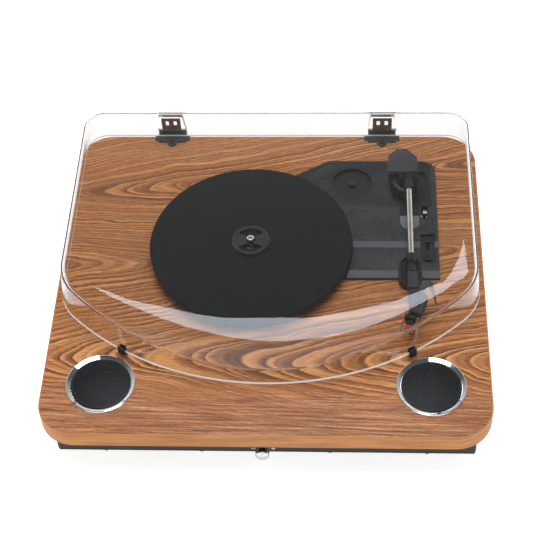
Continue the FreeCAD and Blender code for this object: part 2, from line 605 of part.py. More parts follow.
def housing_cap():
    """Faceted roof: level at the back, with two slopes to the front that meet in a ridge."""
    low = [V(x, y, CAP_Z0) for x, y in CAP_PLAN]
    top = [V(x, y, 38.0) for x, y in CAP_PLAN]
    top[3].z = 34.4
    top[4].z = height_on_plane(CAP_RIDGE, top[2], top[3], *CAP_PLAN[4])
    top[6].z = 36.4
    top[5].z = height_on_plane(CAP_RIDGE, top[4], top[6], *CAP_PLAN[5])
    loops = [low, [top[0], top[1], top[2], CAP_RIDGE], [top[2], top[3], top[4], CAP_RIDGE],
             [top[4], top[5], top[6], CAP_RIDGE], [top[6], top[0], CAP_RIDGE]]
    for i in range(len(low)):
        j = (i + 1) % len(low)
        loops.append([low[i], low[j], top[j], top[i]])
    return Part.Solid(Part.Shell([Part.Face(Part.makePolygon(loop + loop[:1])) for loop in loops]))


def arm_housing():
    """Roof over the pivot and a hollow block behind it, open at the front for the sleeve."""
    back_plan = [(125.2, 134.3), (134.7, 134.3), (145.4, 122.2), (145.4, 119.5),
                 (116.3, 119.5), (116.5, 125.2)]
    hollow_plan = [(126.4, 132.1), (133.6, 132.1), (142.4, 122.1), (118.6, 122.1), (118.6, 123.9)]
    block = housing_cap().fuse(poly_prism(back_plan, 17.6, CAP_Z0))
    mouth = cyl(ARM_X, 112, ARM_Z, 4.6, SLEEVE_BACK - 112, Y)
    return block.cut(poly_prism(hollow_plan, 19.6, 35.6)).cut(mouth)


def counterweight():
    """Steel block carried on the sleeve's end inside the housing."""
    return box(125.2, SLEEVE_BACK, 21.4, 134.6, 129.8, 34.6)


def headshell_socket():
    """Black collar at the tube's front end, stepped down to a plated contact ring."""
    return revolve_y([(TUBE_R, 1.4), (4.3, 1.4), (4.6, 0.8), (4.6, -8.2), (3.4, -8.2), (3.4, -12.6),
                      (4.2, -12.6), (4.2, -20.6), (0, -20.6), (0, -2.6), (TUBE_R, -2.6)], ARM_X, ARM_Z)


HEAD_ANGLE = 19.0         # the cartridge's angle to the tube
HEAD_AXIS = V(-math.sin(math.radians(HEAD_ANGLE)), -math.cos(math.radians(HEAD_ANGLE)), 0)
HEAD_X, HEAD_Y = 143.0, -48.0


def head_box(along0, along1, side0, side1, z0, z1):
    """Box in the headshell's own angled axes; along runs forward from its rear."""
    b = Part.makeBox(side1 - side0, along1 - along0, z1 - z0, V(side0, -along1, z0))
    b.rotate(V(0, 0, 0), Z, -HEAD_ANGLE)
    b.translate(V(HEAD_X, HEAD_Y, 0))
    return b


def headshell():
    """Neck block and the angled shell with its grooved top."""
    neck = box(132.4, -41.5, 22.0, 142.8, -20.6, 30.0)
    neck = round_edges(neck, 2.2, lambda e: upright(e) and e.BoundBox.YMin < -30)
    neck = round_edges(neck, 1.2, on_plane(30.0))
    plan = [(133.4, -36), (143.5, -36), (151.2, -50.6), (150.0, -56), (144.2, -70.6), (134.6, -67.2),
            (133.2, -50)]
    shell = poly_prism(plan, 20.4, 27.6)
    shell = round_edges(shell, 1.0, on_plane(27.6))
    groove = head_box(-2, 22, -0.9, 0.9, 26.6, 30)
    vents = [head_box(a, a + 1.2, 2.4, 5.2, 26.8, 30) for a in (8, 11, 14)]
    return neck.fuse(shell).cut(Part.makeCompound([groove.cut(neck)] + vents))


def finger_lift():
    """Thin blade out of the headshell's right side, hooked forward to a tip."""
    pts = [(143.0, -38.6), (151.6, -30.8), (156.8, -34.4), (157.6, -46.6), (159.2, -61.2), (157.2, -57),
           (154.6, -43.6), (151.9, -39.4), (147.4, -43.4)]
    blade = poly_prism(pts, 27.6, 28.8)
    foot = poly_prism([(143.0, -38.6), (145.4, -37.0), (148.0, -42.0), (145.6, -44.0)], 27.6, 28.8)
    return blade.fuse(foot)


def cartridge():
    """Black body under the shell, its square front end and the stylus holder's seat."""
    body = head_box(4, 21.0, -4.4, 4.4, 18.2, 20.4)
    cap = head_box(24.6, 28.2, -5.2, 5.2, 18.2, 26.6)
    nose = head_box(28.2, 32.0, -3.2, 3.2, 18.2, 24.0)
    link = head_box(20.0, 25.0, -4.4, 4.4, 18.2, 20.4)
    return body.multiFuse([cap, nose, link])


def stylus():
    """Red holder with the cantilever and its tip."""
    holder = head_box(27.4, 34.2, -2.5, 2.5, 16.9, 18.2).fuse(head_box(32.0, 34.2, -2.5, 2.5, 16.9, 20.6))
    x, y = HEAD_X + HEAD_AXIS.x * 33.2, HEAD_Y + HEAD_AXIS.y * 33.2
    tip = revolve([(0, 17.0), (0.7, 17.0), (0.12, 16.4), (0, 16.4)], x, y)
    return holder.fuse(tip)


def stylus_guard():
    """Clear U-shaped cover, open above and behind, that pulls off forwards."""
    outer = head_box(22.0, 37.0, -6.4, 6.4, 15.1, 22.4)
    inner = head_box(20.0, 36.2, -5.6, 5.6, 15.9, 24.0)
    return outer.cut(inner)


def lift_platform():
    """Curved bar under the sleeve on two pins; it rises to lift the arm."""
    arc = tube(LIFT_R0, LIFT_R1, LIFT_TOP - 2.4, LIFT_TOP, ARM_X, ARM_Y)
    keep = wedge(183, 279, 30)
    pins = [cyl(x, y, 0.4, 1.2, LIFT_TOP - 1 - 0.4) for x, y in LIFT_PINS]
    return arc.common(keep).multiFuse(pins)


def wedge(a0, a1, r):
    """Tall sector about the arm's pivot between two angles."""
    pts = [(ARM_X, ARM_Y)] + [polar(ARM_X, ARM_Y, r, a0 + (a1 - a0) * i / 4) for i in range(5)]
    return poly_prism(pts, -5, 45)


def cue_lever():
    """Short lever in the slot beside the arm, leaning forward at rest."""
    stem = box(151.0, LEVER_Y - 1.4, -3.0, 155.0, LEVER_Y + 1.4, 10.6)
    stem = stem.fuse(cyl(150.2, LEVER_Y, -3.0, 2.4, 5.6, X))
    stem = stem.fuse(cyl(151.0, LEVER_Y, 10.6, 1.9, 4.0, X))
    stem = stem.cut(cyl(140, LEVER_Y, -3.0, 1.05, 30, X))
    stem.rotate(V(0, LEVER_Y, -3.0), X, 22)
    return stem


def slide_switch(y0, length):
    """Ribbed thumb piece with its stem through the slot."""
    thumb = box(SWITCH_X - 3.1, y0, 2.7, SWITCH_X + 3.1, y0 + length, 5.4)
    grooves = [box(SWITCH_X - 4, y0 + 1.1 + 1.5 * i, 4.9, SWITCH_X + 4, y0 + 1.7 + 1.5 * i, 6)
               for i in range(3)]
    mid = y0 + length / 2
    stem = box(SWITCH_X - 1.1, mid - 1.5, -0.6, SWITCH_X + 1.1, mid + 1.5, 3)
    return drill(thumb, grooves).fuse(stem)


# ---------------------------------------------------------------- dust cover and hinges
def cover_outline(inset, z):
    """Plan of the cover: straight sides and back, one wide arc in front."""
    gap = COVER_FRONT_R - COVER_CORNER_R
    cx = COVER_W2 - COVER_CORNER_R
    cy = COVER_FRONT_Y - math.sqrt(gap ** 2 - cx ** 2)
    turn_at = math.degrees(math.atan2(cy - COVER_FRONT_Y, cx))
    bx, by = COVER_W2 - COVER_BACK_R, COVER_BACK - COVER_BACK_R
    rb, rc, rf = COVER_BACK_R - inset, COVER_CORNER_R - inset, COVER_FRONT_R - inset
    arcs = [(bx, by, rb, 0, 90), (-bx, by, rb, 90, 180),
            (-cx, cy, rc, 180, 180 - turn_at), (0, COVER_FRONT_Y, rf, 180 - turn_at, 360 + turn_at),
            (cx, cy, rc, 360 + turn_at, 360)]
    return arc_loop(arcs, z)


def bent_top(inset):
    """Space under the cover's top: level behind the bend line, curving down in front of it."""
    top, r = COVER_TOP_Z - inset, BEND_R - inset
    reach = BEND_R0 + r - 0.5
    low = top - r + math.sqrt(r ** 2 - (reach - BEND_R0) ** 2)
    mid_r, mid_z = BEND_R0 + r * math.sin(math.radians(40)), top - r + r * math.cos(math.radians(40))
    p = [V(0, BEND_Y, -30), V(reach, BEND_Y, -30), V(reach, BEND_Y, low), V(BEND_R0, BEND_Y, top),
         V(0, BEND_Y, top)]
    arc = Part.Arc(p[2], V(mid_r, BEND_Y, mid_z), p[3]).toShape()
    wire = Part.Wire([Part.makeLine(p[0], p[1]), Part.makeLine(p[1], p[2]), arc, Part.makeLine(p[3], p[4]),
                      Part.makeLine(p[4], p[0])])
    return Part.Face(wire).revolve(V(0, BEND_Y, 0), Z, 360)


def cover_form(inset, z0, radius):
    """One skin of the cover as a solid, with its upper edge rounded."""
    per_mm = COVER_DRAFT / (COVER_TOP_Z - COVER_RIM_Z)
    z1 = COVER_TOP_Z + 1
    low, high = inset + (z0 - COVER_RIM_Z) * per_mm, inset + (z1 - COVER_RIM_Z) * per_mm
    block = Part.makeLoft([cover_outline(low, z0), cover_outline(high, z1)], True, True)
    form = block.common(bent_top(inset))

    def at_top(e):
        """True for an edge round the top; the long level bend line across the cover is left out."""
        b = e.BoundBox
        across = b.XLength > COVER_W2 and b.YLength < 1.5 and b.ZLength < 1e-3
        bend_line = across and abs(b.YMin - COVER_BACK) > 12
        return b.ZMin >= COVER_RIM_Z + 6 and not bend_line

    rim = [e for e in form.Edges if at_top(e) and edge_is_sharp(form, e)]
    return form.makeFillet(radius, rim)


def edge_is_sharp(shape, edge):
    """True where the two faces at an edge meet at a real angle."""
    faces = shape.ancestorsOfType(edge, Part.Face)
    if len(faces) < 2:
        return False
    t = (edge.FirstParameter + edge.LastParameter) / 2
    at = edge.valueAt(t)
    normals = []
    for face in faces[:2]:
        u, v = face.Surface.parameter(at)
        normals.append(face.normalAt(u, v))
    return normals[0].getAngle(normals[1]) > math.radians(15)


def dust_cover():
    outer = cover_form(0, COVER_RIM_Z, 5.0)
    inner = cover_form(COVER_WALL, COVER_RIM_Z, 2.6)
    shell = outer.cut(inner)
    for side in (-1, 1):
        x = side * HINGE_X
        front = [(x - 15, 12.4), (x + 15, 12.4), (x + 12.2, POCKET_TOP), (x - 12.2, POCKET_TOP)]
        outline = Part.makePolygon([V(a, 184, b) for a, b in front + front[:1]])
        pocket = Part.Face(outline).extrude(V(0, 10, 0))
        pocket = round_edges(pocket, 2.0, lambda e: e.BoundBox.YLength > 5 and e.BoundBox.ZMin > 30)
        pocket = pocket.cut(outer)
        slot = box(x - LEAF_W - 0.1, LEAF_Y0 - 0.1, 12, x + LEAF_W + 0.1, LEAF_Y1 + 0.1, LEAF_TOP + 0.2)
        shell = shell.fuse(pocket).cut(slot)
    return shell


LEAF_W, LEAF_Y0, LEAF_Y1, LEAF_TOP = 10.0, 190.8, 192.4, 29.0
POCKET_TOP = 33.6


def hinge_leaf(side):
    """Tongue that fills the cover's pocket, with two windows and the hinge's knuckle."""
    x = side * HINGE_X
    plate = box(x - LEAF_W, LEAF_Y0, 8.6, x + LEAF_W, LEAF_Y1, LEAF_TOP)
    windows = [box(x + d - 1.8, 188, 18.0, x + d + 1.8, 196, 25.0) for d in (-4.2, 4.2)]
    knuckle = cyl(x - 10.6, HINGE_Y, HINGE_Z, 3.3, 21.2, X)
    web = box(x - LEAF_W, LEAF_Y0, 7.4, x + LEAF_W, HINGE_Y, 10.2)
    leaf = plate.fuse(knuckle).fuse(web)
    return drill(leaf, windows + [cyl(x - 20, HINGE_Y, HINGE_Z, 1.2 + BORE, 40, X)])


def hinge_bracket(side):
    """Foot on the board with a rounded tab, saddle under the knuckle and two ears."""
    x, back = side * HINGE_X, BOARD_D / 2
    foot = box(x - 14.5, 181, 0, x + 14.5, back + 2.6, 2.0).fuse(box(x - 18.6, 184, 0, x + 18.6, back, 1.4))
    tab = cyl(x, 180, 0, 5.0, 2.0).fuse(box(x - 5, 180, 0, x + 5, 184, 2.0))
    flange = box(x - 14.5, back, -14, x + 14.5, back + 2.6, 2.0)
    saddle = box(x - 11.0, back, 0, x + 11.0, HINGE_BACK, 3.4)
    out = foot.multiFuse([tab, flange, saddle])
    for s in (-1, 1):
        ear_x = x + (11.0 if s > 0 else -14.5)
        plate = box(ear_x, back + 1.0, -14, ear_x + 3.5, HINGE_BACK, HINGE_Z)
        out = out.fuse(plate).fuse(cyl(ear_x, HINGE_Y, HINGE_Z, 3.6, 3.5, X))
    out = out.cut(cyl(x - 30, HINGE_Y, HINGE_Z, 1.2, 60, X))
    holes = [screw_hole(x, 180, 3, 5, False)]
    holes += [cyl(x + d, back - 1, -8, 1.5 + BORE, 5, Y) for d in (-6.5, 6.5)]
    return drill(out, holes)


def hinge_pins():
    return [cyl(s * HINGE_X - 15, HINGE_Y, HINGE_Z, 1.2, 30, X) for s in (-1, 1)]


def hinge_screws():
    """One screw down through each tab, two through each flange."""
    out = []
    for s in (-1, 1):
        out.append(screw(s * HINGE_X, 180, 2.0, 11, False))
        for d in (-6.5, 6.5):
            back = screw(0, 0, 0, 12, False)
            back.rotate(V(0, 0, 0), X, -90)
            back.translate(V(s * HINGE_X + d, BOARD_D / 2 + 2.6, -8))
            out.append(back)
    return out


BUMPER_X, BUMPER_Y = 136.5, -98.0


def lid_bumpers():
    """Soft blocks that clip over the cover's rim and keep it off the board."""
    out = []
    for s in (-1, 1):
        lean = math.degrees(math.atan2(BUMPER_Y - COVER_FRONT_Y, BUMPER_X)) + 90
        block = Part.makeBox(7.6, 7.0, 9.0, V(-3.8, -3.6, 0.3))
        block = round_edges(block, 1.2, lambda e: e.Length > 0)
        slot = Part.makeBox(20, COVER_WALL + 1.1, 20, V(-10, -1.55, COVER_RIM_Z - 0.05))
        clip = block.cut(slot)
        clip.rotate(V(0, 0, 0), Z, lean if s > 0 else -lean)
        r = COVER_FRONT_R - COVER_WALL / 2
        a = math.atan2(BUMPER_Y - COVER_FRONT_Y, s * BUMPER_X)
        clip.translate(V(r * math.cos(a), COVER_FRONT_Y + r * math.sin(a), 0))
        out.append(clip)
    return out


# ---------------------------------------------------------------- write the nodes
def main():
    os.makedirs("parts", exist_ok=True)
    save("top_board", top_board())
    save("edge_band", edge_band())
    for name, wall in base_walls().items():
        save(name, wall)
    save("bottom_cover", bottom_cover())
    save("rubber_feet", rubber_feet())
    save("wood_screws", wood_screws())
    save("deck_plate", deck_plate())
    save("deck_screws", deck_screws())
    save("throat_insert", throat_insert())
    save("arm_rest", arm_rest())
    save("spindle", spindle())
    save("spindle_clip", spindle_clip())
    save("platter", platter())
    save("platter_mat", platter_mat())
    save("platter_bush", platter_bush())
    save("adaptor_45", adaptor())
    save("drive_belt", drive_belt())
    save("drive_motor", drive_motor())
    save("motor_pulley", motor_pulley())
    for word, side in (("left", -1), ("right", 1)):
        save("speaker_ring_" + word, speaker_ring(side))
        save("speaker_grille_" + word, speaker_grille(side))
        save("speaker_basket_" + word, speaker_basket(side))
        save("speaker_cone_" + word, speaker_cone(side))
        save("hinge_leaf_" + word, hinge_leaf(side))
        save("hinge_bracket_" + word, hinge_bracket(side))
    save("speaker_magnets", speaker_magnets())
    save("circuit_board", circuit_board())
    save("dc_inlet", dc_inlet())
    save("rca_sockets", rca_sockets())
    save("volume_pot", volume_pot())
    save("pot_shaft", pot_shaft())
    save("volume_knob", volume_knob())
    save("arm_yoke", arm_yoke())
    save("arm_sleeve", arm_sleeve())
    save("arm_tube", arm_tube())
    save("arm_housing", arm_housing())
    save("counterweight", counterweight())
    save("headshell_socket", headshell_socket())
    save("headshell", headshell())
    save("finger_lift", finger_lift())
    save("cartridge", cartridge())
    save("stylus", stylus())
    save("stylus_guard", stylus_guard())
    save("lift_platform", lift_platform())
    save("cue_lever", cue_lever())
    save("speed_switch", slide_switch(37.0, 5.6))
    save("stop_switch", slide_switch(13.6, 5.6))
    save("hinge_pins", hinge_pins())
    save("hinge_screws", hinge_screws())
    save("lid_bumpers", lid_bumpers())
    save("dust_cover", dust_cover())


main()
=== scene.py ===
import math

import bmesh
import bpy
from mathutils import Matrix, Vector
from mathutils.geometry import interpolate_bezier


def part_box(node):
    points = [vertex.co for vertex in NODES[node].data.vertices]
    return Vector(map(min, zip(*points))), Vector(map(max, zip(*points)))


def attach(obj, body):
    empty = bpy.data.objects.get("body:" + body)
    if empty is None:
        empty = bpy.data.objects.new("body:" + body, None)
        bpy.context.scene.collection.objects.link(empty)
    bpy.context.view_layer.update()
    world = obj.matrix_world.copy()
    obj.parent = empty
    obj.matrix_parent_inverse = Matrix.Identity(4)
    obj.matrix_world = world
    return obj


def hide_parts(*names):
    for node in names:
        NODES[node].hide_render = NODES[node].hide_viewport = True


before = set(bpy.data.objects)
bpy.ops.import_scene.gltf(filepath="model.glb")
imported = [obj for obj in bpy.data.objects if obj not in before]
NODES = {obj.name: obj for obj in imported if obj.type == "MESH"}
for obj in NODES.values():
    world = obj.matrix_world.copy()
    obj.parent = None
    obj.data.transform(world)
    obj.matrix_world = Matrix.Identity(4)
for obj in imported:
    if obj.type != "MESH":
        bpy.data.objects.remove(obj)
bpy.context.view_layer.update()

# Looks of the turntable record player. Everything is in metres in the row frame: x to the right,
# y to the back, z up, with the floor at z = 0. Shader coordinates are in millimetres.

MM = 0.001
BOARD_LOW, BOARD_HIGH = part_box("top_board")
BOARD_Z = BOARD_HIGH.z
BOARD_MID = (BOARD_LOW + BOARD_HIGH) / 2


# ---------------------------------------------------------------- camera, floor and light
CAMERA_ELEVATION = 50.03     # degrees above the board
CAMERA_AZIMUTH = 4.67        # degrees to the right of straight ahead
CAMERA_ROLL = -3.32
CAMERA_DISTANCE = 1.4121     # from the middle of the board's top
CAMERA_LENS = 96.97
CAMERA_SHIFT = (-0.0075, 0.0140)
BOX_PLACE = (-0.04, 0.36, 1.56)
BOX_SIZE = (1.0, 1.45)
BOX_TURN = 18.0              # degrees, seen from above
BOX_STRENGTH = 4.3
SHEET_Z = 1.56
SHEET_CURVE = [(-570, 880), (-545, 260), (-300, -445), (-10, -435), (210, -420), (460, -310), (440, 570),
               (440, 800), (345, 1060), (345, 1285), (325, 1160), (268, 1130), (176, 1001), (160, 965),
               (140, 920), (124, 885), (20, 888), (-70, 856), (-170, 856), (-300, 838), (-400, 955),
               (-570, 880)]
SHEET_STEPS = 16
SHEET_COLOR = (0.82, 0.91, 1.0)
SHEET_STRENGTH = 8.4
FLOOR_HALF = 6.0
FLOOR_GLOW = 0.32            # light the floor gives off, and what it adds when the camera sees it
FLOOR_SEEN_GLOW = 0.45
FRONT_GLOW = 0.85            # the studio's front side, as mirror-like surfaces see it
THROUGH_GLOW = 0.17          # the studio as seen through clear pieces
FRONT_FACING = (-0.10, -0.45)
WORLD_STOPS = [(0.0, 0.95), (0.25, 0.95), (0.5, 0.55), (0.70, 0.24), (0.78, 0.10), (1.0, 0.08)]


def make_camera():
    data = bpy.data.cameras.new("camera")
    data.lens = CAMERA_LENS
    data.sensor_width = 36.0
    data.shift_x, data.shift_y = CAMERA_SHIFT
    data.clip_start, data.clip_end = 0.01, 50.0
    camera = bpy.data.objects.new("camera", data)
    bpy.context.scene.collection.objects.link(camera)
    e, a = math.radians(CAMERA_ELEVATION), math.radians(CAMERA_AZIMUTH)
    back = Vector((math.cos(e) * math.sin(a), -math.cos(e) * math.cos(a), math.sin(e)))
    level = back.to_track_quat("Z", "Y").to_matrix()
    aim = Vector((BOARD_MID.x, BOARD_MID.y, BOARD_Z))
    turned = level @ Matrix.Rotation(math.radians(CAMERA_ROLL), 3, "Z")
    camera.matrix_world = Matrix.Translation(aim + back * CAMERA_DISTANCE) @ turned.to_4x4()
    bpy.context.scene.camera = camera


def softbox():
    """Level lamp over the player. It lights; the sheet under it is what shows in reflections."""
    data = bpy.data.lights.new("softbox", "AREA")
    data.shape = "RECTANGLE"
    data.size, data.size_y = BOX_SIZE
    data.energy = BOX_STRENGTH * BOX_SIZE[0] * BOX_SIZE[1] * math.pi
    lamp = bpy.data.objects.new("softbox", data)
    bpy.context.scene.collection.objects.link(lamp)
    lamp.location = BOX_PLACE
    lamp.rotation_euler = (0, 0, math.radians(BOX_TURN))
    lamp.visible_glossy = False
    lamp.visible_transmission = False


def sheet_outline():
    """Points round the sheet. SHEET_CURVE is a corner, two handles, the next corner, and so on."""
    curve = [Vector((x * MM, y * MM, SHEET_Z)) for x, y in SHEET_CURVE]
    points = []
    for i in range(0, len(curve) - 1, 3):
        points += interpolate_bezier(*curve[i:i + 4], SHEET_STEPS)[:-1]
    return points


def softbox_sheet():
    """Glowing sheet of the softbox, seen only by glossy surfaces."""
    mesh = bpy.data.meshes.new("softbox_sheet")
    outline = sheet_outline()
    mesh.from_pydata(outline, [], [tuple(range(len(outline)))])
    material = bpy.data.materials.new("softbox_sheet")
    material.use_nodes = True
    bsdf = material.node_tree.nodes["Principled BSDF"]
    bsdf.inputs["Base Color"].default_value = (0, 0, 0, 1)
    bsdf.inputs["Specular IOR Level"].default_value = 0.0
    bsdf.inputs["Emission Color"].default_value = (*SHEET_COLOR, 1)
    bsdf.inputs["Emission Strength"].default_value = SHEET_STRENGTH
    mesh.materials.append(material)
    sheet = bpy.data.objects.new("softbox_sheet", mesh)
    bpy.context.scene.collection.objects.link(sheet)
    sheet.visible_camera = False
    sheet.visible_diffuse = False
    sheet.visible_transmission = False
    sheet.visible_shadow = False


def make_world():
    """Studio that is bright near the horizon and dim overhead; WORLD_STOPS run from level to straight up."""
    world = bpy.data.worlds.new("studio")
    bpy.context.scene.world = world
    world.use_nodes = True
    tree = world.node_tree
    coord = tree.nodes.new("ShaderNodeTexCoord")
    split = tree.nodes.new("ShaderNodeSeparateXYZ")
    tree.links.new(coord.outputs["Generated"], split.inputs[0])
    ramp = tree.nodes.new("ShaderNodeValToRGB")
    tree.links.new(split.outputs["Z"], ramp.inputs[0])
    ramp.color_ramp.elements.remove(ramp.color_ramp.elements[1])
    for i, (at, level) in enumerate(WORLD_STOPS):
        stop = ramp.color_ramp.elements[0] if i == 0 else ramp.color_ramp.elements.new(at)
        stop.position = at
        stop.color = (level, level, level, 1)
    path = tree.nodes.new("ShaderNodeLightPath")
    front = tree.nodes.new("ShaderNodeMapRange")
    front.inputs[1].default_value, front.inputs[2].default_value = FRONT_FACING
    front.inputs[4].default_value = FRONT_GLOW
    tree.links.new(split.outputs["Y"], front.inputs[0])

    def math_node(operation, a, b):
        node = tree.nodes.new("ShaderNodeMath")
        node.operation = operation
        for socket, value in zip(node.inputs, (a, b)):
            if isinstance(value, float):
                socket.default_value = value
            else:
                tree.links.new(value, socket)
        return node.outputs[0]

    mirrored = math_node("MULTIPLY", path.outputs["Is Glossy Ray"], front.outputs[0])
    through = math_node("MULTIPLY", path.outputs["Is Transmission Ray"], THROUGH_GLOW)
    level = math_node("MAXIMUM", math_node("MAXIMUM", mirrored, through), ramp.outputs["Color"])
    tree.links.new(level, tree.nodes["Background"].inputs["Color"])


def make_stage():
    mesh = bpy.data.meshes.new("floor")
    corners = [(x * FLOOR_HALF, y * FLOOR_HALF, 0) for x, y in ((-1, -1), (1, -1), (1, 1), (-1, 1))]
    mesh.from_pydata(corners, [], [(0, 1, 2, 3)])
    floor = bpy.data.objects.new("floor", mesh)
    bpy.context.scene.collection.objects.link(floor)
    material = bpy.data.materials.new("floor_white")
    material.use_nodes = True
    bsdf = material.node_tree.nodes["Principled BSDF"]
    bsdf.inputs["Base Color"].default_value = (0.92, 0.92, 0.92, 1)
    bsdf.inputs["Roughness"].default_value = 0.9
    bsdf.inputs["Emission Color"].default_value = (1, 1, 1, 1)
    path = material.node_tree.nodes.new("ShaderNodeLightPath")
    glow = material.node_tree.nodes.new("ShaderNodeMath")
    glow.operation = "MULTIPLY_ADD"
    glow.inputs[1].default_value = FLOOR_SEEN_GLOW
    glow.inputs[2].default_value = FLOOR_GLOW
    material.node_tree.links.new(path.outputs["Is Camera Ray"], glow.inputs[0])
    material.node_tree.links.new(glow.outputs[0], bsdf.inputs["Emission Strength"])
    mesh.materials.append(material)
    softbox()
    softbox_sheet()
    make_world()
    bpy.context.scene.view_settings.view_transform = "Standard"


# ---------------------------------------------------------------- shader building
class Shader:
    """A material under construction. Each method adds one node and returns its output socket."""

    def __init__(self, name, **constants):
        self.material = bpy.data.materials.new(name)
        self.material.use_nodes = True
        self.tree = self.material.node_tree
        self.bsdf = self.tree.nodes["Principled BSDF"]
        for socket, value in constants.items():
            self.bsdf.inputs[socket.replace("_", " ").title().replace("Ior", "IOR")].default_value = value
        coord = self.tree.nodes.new("ShaderNodeTexCoord")
        self.place = self.vector("SCALE", coord.outputs["Object"], scale=1000.0)

    def put(self, socket, value):
        if isinstance(value, bpy.types.NodeSocket):
            self.tree.links.new(value, socket)
        elif value is not None:
            socket.default_value = value

    def vector(self, operation, a, b=None, scale=None):
        node = self.tree.nodes.new("ShaderNodeVectorMath")
        node.operation = operation
        self.put(node.inputs[0], a)
        self.put(node.inputs[1], b)
        if scale is not None:
            self.put(node.inputs["Scale"], scale)
        return node.outputs["Value" if operation == "LENGTH" else "Vector"]

    def math(self, operation, a, b=None, c=None, clamp=False):
        node = self.tree.nodes.new("ShaderNodeMath")
        node.operation = operation
        node.use_clamp = clamp
        for socket, value in zip(node.inputs, (a, b, c)):
            self.put(socket, value)
        return node.outputs[0]

    def split(self, vector):
        node = self.tree.nodes.new("ShaderNodeSeparateXYZ")
        self.put(node.inputs[0], vector)
        return node.outputs

    def join(self, x, y, z=0.0):
        node = self.tree.nodes.new("ShaderNodeCombineXYZ")
        for socket, value in zip(node.inputs, (x, y, z)):
            self.put(socket, value)
        return node.outputs[0]

    def stretch(self, sizes, vector=None):
        """Coordinates in which one feature is sizes millimetres long each way."""
        return self.vector("DIVIDE", self.place if vector is None else vector, sizes)

    def noise(self, vector, detail=3.0, rough=0.55):
        node = self.tree.nodes.new("ShaderNodeTexNoise")
        self.put(node.inputs["Vector"], vector)
        self.put(node.inputs["Scale"], 1.0)
        self.put(node.inputs["Detail"], detail)
        self.put(node.inputs["Roughness"], rough)
        return node.outputs[0]

    def cells(self, vector):
        node = self.tree.nodes.new("ShaderNodeTexVoronoi")
        self.put(node.inputs["Vector"], vector)
        self.put(node.inputs["Scale"], 1.0)
        return node.outputs["Distance"]

    def remap(self, value, low, high, to_low=0.0, to_high=1.0):
        node = self.tree.nodes.new("ShaderNodeMapRange")
        for i, v in enumerate((value, low, high, to_low, to_high)):
            self.put(node.inputs[i], v)
        return node.outputs[0]

    def ramp(self, value, stops):
        node = self.tree.nodes.new("ShaderNodeValToRGB")
        node.color_ramp.elements.remove(node.color_ramp.elements[1])
        for i, (at, color) in enumerate(stops):
            stop = node.color_ramp.elements[0] if i == 0 else node.color_ramp.elements.new(at)
            stop.position = at
            stop.color = (*color, 1) if isinstance(color, tuple) else (color, color, color, 1)
        self.put(node.inputs[0], value)
        return node.outputs[0]

    def mix(self, factor, a, b, mode="MIX"):
        node = self.tree.nodes.new("ShaderNodeMix")
        node.data_type = "RGBA"
        node.blend_type = mode
        self.put(node.inputs[0], factor)
        self.put(node.inputs[6], (*a, 1) if isinstance(a, tuple) else a)
        self.put(node.inputs[7], (*b, 1) if isinstance(b, tuple) else b)
        return node.outputs[2]

    def tinted(self, color, by):
        return self.mix(1.0, color, by, "MULTIPLY")

    def swing(self, value, amount, base, clamp=False):
        """Base plus amount times how far the value, which is 0.5 on average, is from 0.5."""
        return self.math("MULTIPLY_ADD", self.math("SUBTRACT", value, 0.5), amount, base, clamp)

    def bump(self, height, depth_mm, strength=1.0):
        node = self.tree.nodes.new("ShaderNodeBump")
        self.put(node.inputs["Height"], height)
        self.put(node.inputs["Distance"], depth_mm * MM)
        self.put(node.inputs["Strength"], strength)
        return node.outputs[0]

    def edges(self):
        """About 1 on convex edges, which are painted paler as a highlight, and 0 elsewhere."""
        node = self.tree.nodes.new("ShaderNodeNewGeometry")
        return self.remap(node.outputs["Pointiness"], 0.52, 0.62)

    def finish(self, color, rough, normal):
        self.put(self.bsdf.inputs["Base Color"], (*color, 1) if isinstance(color, tuple) else color)
        self.put(self.bsdf.inputs["Roughness"], rough)
        self.put(self.bsdf.inputs["Normal"], normal)
        return self.material


def dress(material, *names):
    for name in names:
        mesh = NODES[name].data
        mesh.materials.clear()
        mesh.materials.append(material)


# ---------------------------------------------------------------- wood
# Hearts of the plain-sawn figure: place of the first tip, slope of its axis, taper, roundness and
# how many times finer its rings are than the first one's.
HEARTS = [
    ((-75.0, -106.0), -0.02, 0.23, 13.0, 1.0),
    ((-215.0, 101.0), 0.10, 0.16, 7.0, 1.5),
]
RING_MM = 5.6
HEART_JOIN = 45.0                 # how softly the rings of two hearts run together
REAR_PALE_Y = (135.0, 160.0)      # each pair: where the change starts and where it is complete
FRONT_STRIP_Y = (-138.0, -158.0)
ARCHES_BEHIND_Y = (-84.0, -92.0)
ARCHES_BEFORE_Y = (-132.0, -122.0)
BAND_TONES = [(0.0, 0.08), (0.10, 0.14), (0.36, 0.40), (0.58, 0.60), (0.74, 0.96), (0.90, 0.90), (1.0, 0.10)]
WALNUT_TONES = [(0.0, (0.125, 0.040, 0.013)), (0.28, (0.262, 0.094, 0.030)), (0.55, (0.430, 0.170, 0.056)),
                (0.80, (0.590, 0.256, 0.086)), (1.0, (0.730, 0.355, 0.125))]
BAND_WOOD_TONES = [(0.34, (0.40, 0.148, 0.045)), (0.5, (0.63, 0.258, 0.080)), (0.66, (0.83, 0.380, 0.135))]


